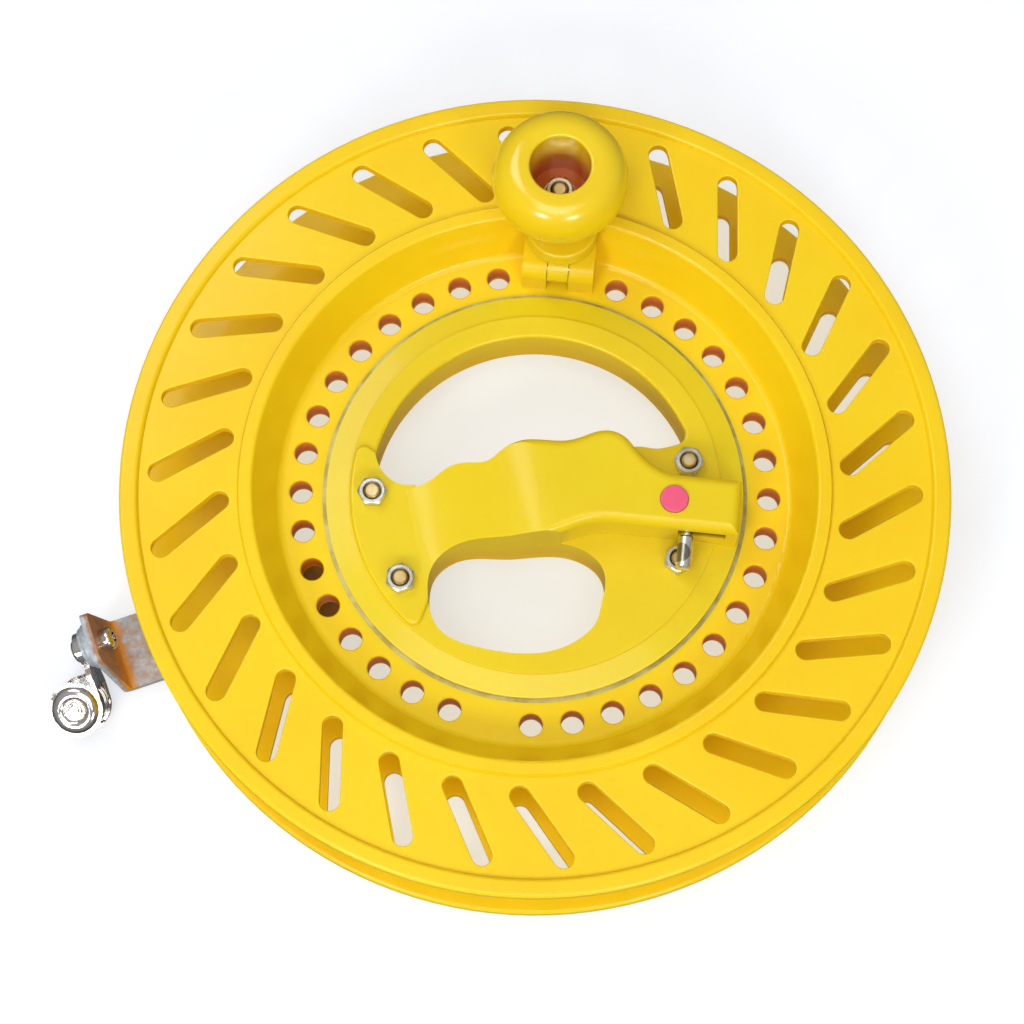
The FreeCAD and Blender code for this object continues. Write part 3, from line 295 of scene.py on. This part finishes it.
def galvanised(name):
    """Galvanised strip: spangled grey, with rust along the bend and down the inside of the tab."""
    p = metal(name, rgb(180, 188, 196), rgb(164, 171, 178), 0.50)
    spangle = p.add("ShaderNodeTexVoronoi", {"Vector": p.place, "Scale": 900.0})
    fleck = p.span(spangle.outputs["Distance"], 0.1, 0.75)
    tone = p.mix(p.times(fleck, 0.55), p.tone, rgb(138, 145, 150))
    crease, out = arm_crease()
    facing = out * math.cos(TAB_LEAN) - Vector((0, 0, math.sin(TAB_LEAN)))
    rough_edge = p.span(p.noise(380.0, 4.0, 0.6), 0.3, 0.7, -0.6 * MM, 0.6 * MM)
    depth, height, reach = (p.math("ADD", p.along(way, crease), rough_edge) for way in (facing, UP, out))
    inside = p.times(p.span(depth, 1.2 * MM, 0.6 * MM), p.span(height, -0.6 * MM, 0.8 * MM))
    off_bend = p.math("ABSOLUTE", p.math("ADD", reach, 0.3 * MM))
    line = p.math("SUBTRACT", 1.0, p.span(off_bend, 0.6 * MM, 2.4 * MM, smooth=True))
    line = p.times(line, p.span(height, -1.2 * MM, -0.4 * MM))
    brown = p.mix(p.span(p.noise(260.0, 4.0, 0.6), 0.35, 0.65), rgb(172, 112, 50), rgb(136, 96, 62))
    tone = p.mix(p.times(inside, 0.85), tone, brown)
    tone = p.mix(line, tone, rgb(196, 130, 40))
    rust = p.math("MAXIMUM", p.times(inside, 0.6), line)
    p.set(Base_Color=tone, Metallic=p.span(rust, 0.0, 1.0, 0.35, 0.1))
    return p


def islands(node):
    """Middle of each separate piece of a node whose pieces lie well apart."""
    groups = []
    for vertex in NODES[node].data.vertices:
        for group in groups:
            if (vertex.co - group[0]).length < 2 * NUT_REACH:
                group.append(vertex.co)
                break
        else:
            groups.append([vertex.co])
    return [sum(group, Vector()) / len(group) for group in groups]


def zinc(name):
    """Zinc plate, with a ring of painted shade round the bolt in the countersink of each nut."""
    p = metal(name, rgb(233, 233, 228), rgb(208, 206, 192), 0.27)
    nearest = None
    for middle in islands("hub_nuts") + islands("knob_nut"):
        gap = p.around((middle.x, middle.y))
        nearest = gap if nearest is None else p.math("MINIMUM", nearest, gap)
    p.set(Base_Color=p.mix(p.times(p.span(nearest, *SINK_R), 0.75), p.tone, rgb(96, 88, 58)))
    return p


finishes = (
    plastic("spool_yellow", rgb(239, 204, 20), rgb(235, 194, 16), 0.33, 0.2, glow=0.3, marks=True,
            extras=spool_painted_glow),
    plastic("hub_yellow", rgb(228, 201, 24), rgb(221, 191, 20), 0.34, 0.2, glow=0.3, extras=hub_painted_light),
    plastic("knob_yellow", rgb(236, 205, 20), rgb(232, 197, 16), 0.19, 0.5, grain=0.3, glow=0.3,
            extras=knob_painted_glow),
    plastic("button_pink", rgb(236, 92, 128), rgb(226, 78, 114), 0.42, glow=0.2),
    plastic("cage_nylon", rgb(228, 226, 214), rgb(205, 200, 186), 0.5),
    plastic("carriage_nylon", rgb(92, 60, 40), rgb(70, 44, 30), 0.5),
    metal("bearing_steel", rgb(196, 184, 118), rgb(166, 150, 84), 0.45),
    metal("spring_steel", rgb(170, 170, 168), rgb(120, 118, 112), 0.3),
    zinc("zinc_steel"),
    metal("bolt_end", rgb(232, 212, 158), rgb(206, 172, 110), 0.34),
    galvanised("galvanised_steel"),
    metal("chrome_steel", rgb(228, 225, 222), rgb(212, 205, 198), 0.09, stain=rgb(220, 160, 70)),
)
paints = {finish.name: finish.material for finish in finishes}

# a slot's CAD material starts with the finish's name; the bolts' cut ends are yellower than their zinc
for node_name, node in NODES.items():
    for slot in node.material_slots:
        if node_name in ("hub_bolts", "knob_bolt"):
            slot.material = paints["bolt_end"]
        else:
            slot.material = next(paints[key] for key in paints if slot.material.name.startswith(key))

# ---- table, light and camera -----------------------------------------------------------------------
bpy.ops.mesh.primitive_plane_add(size=8.0, location=(0, 0, CAD_BOX[0].z - 0.1 * MM))
table = bpy.context.object
table.name = "table"
white = Paint("table_white")
white.set(Base_Color=white.mix(white.noise(3.0), rgb(180, 183, 190), rgb(175, 179, 187)),
          Roughness=white.span(white.noise(40.0), 0.0, 1.0, 0.85, 0.95),
          Emission_Color=(0.975, 0.985, 1.0, 1.0), Emission_Strength=0.55)
table.data.materials.append(white.material)
table.visible_glossy = False

# the studio's light fades from overhead to the horizon
SKY_HEIGHT = (-0.3, 0.9)
SKY_STRENGTH = (0.10, 0.44)
world = bpy.data.worlds.new("studio")
bpy.context.scene.world = world
world.use_nodes = True
sky = world.node_tree.nodes
direction = sky.new("ShaderNodeTexCoord")
split_sky = sky.new("ShaderNodeSeparateXYZ")
level = sky.new("ShaderNodeMapRange")
for socket, value in zip(level.inputs[1:5], SKY_HEIGHT + SKY_STRENGTH):
    socket.default_value = value
for start, end in ((direction.outputs["Generated"], split_sky.inputs[0]),
                   (split_sky.outputs["Z"], level.inputs[0]),
                   (level.outputs[0], sky["Background"].inputs["Strength"])):
    world.node_tree.links.new(start, end)
sky["Background"].inputs["Color"].default_value = (1.0, 1.0, 1.0, 1.0)


def softbox(name, place, side, power):
    """A square soft light of a side in metres and a power in watts, aimed at the reel."""
    data = bpy.data.lights.new(name, "AREA")
    data.shape = "RECTANGLE"
    data.size = data.size_y = side
    data.energy = power
    lamp = bpy.data.objects.new(name, data)
    bpy.context.scene.collection.objects.link(lamp)
    lamp.location = place
    lamp.rotation_euler = (-Vector(place)).to_track_quat("-Z", "Y").to_euler()


softbox("key_softbox", (-0.60, 0.45, 1.1), 0.6, 4.1)
softbox("overhead_softbox", (-0.05, -0.38, 1.30), 0.8, 6.1)
softbox("front_left_softbox", (-0.42, -0.95, 0.80), 0.30, 4.6)
softbox("front_right_softbox", (0.48, -0.95, 0.80), 0.30, 4.2)

SENSOR_MM = 36.0
FOCAL_MM = 97.13671875
DISTANCE = 0.7288                           # from the camera to the point that it looks at
LEAN, ROLL, TURN = (math.radians(angle) for angle in (16.043, 0.879, 6.86))
AIM = Vector((-5.18 * MM, -8.57 * MM, -1.3 * MM))    # where it looks, from the middle of the front face
low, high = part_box("spool_front_shell")
target = Vector(((low.x + high.x) / 2, (low.y + high.y) / 2, high.z)) + AIM
tilt = Matrix.Rotation(ROLL, 3, "Z") @ Matrix.Rotation(-LEAN, 3, "X")
look = Matrix.Rotation(TURN, 3, "Z") @ tilt.transposed()
camera = bpy.data.objects.new("camera", bpy.data.cameras.new("camera"))
bpy.context.scene.collection.objects.link(camera)
camera.data.lens = FOCAL_MM
camera.data.sensor_width = SENSOR_MM
camera.data.clip_start = 50 * MM
camera.matrix_world = Matrix.Translation(target + look @ Vector((0, 0, DISTANCE))) @ look.to_4x4()
bpy.context.scene.camera = camera
bpy.context.scene.view_settings.view_transform = "Standard"
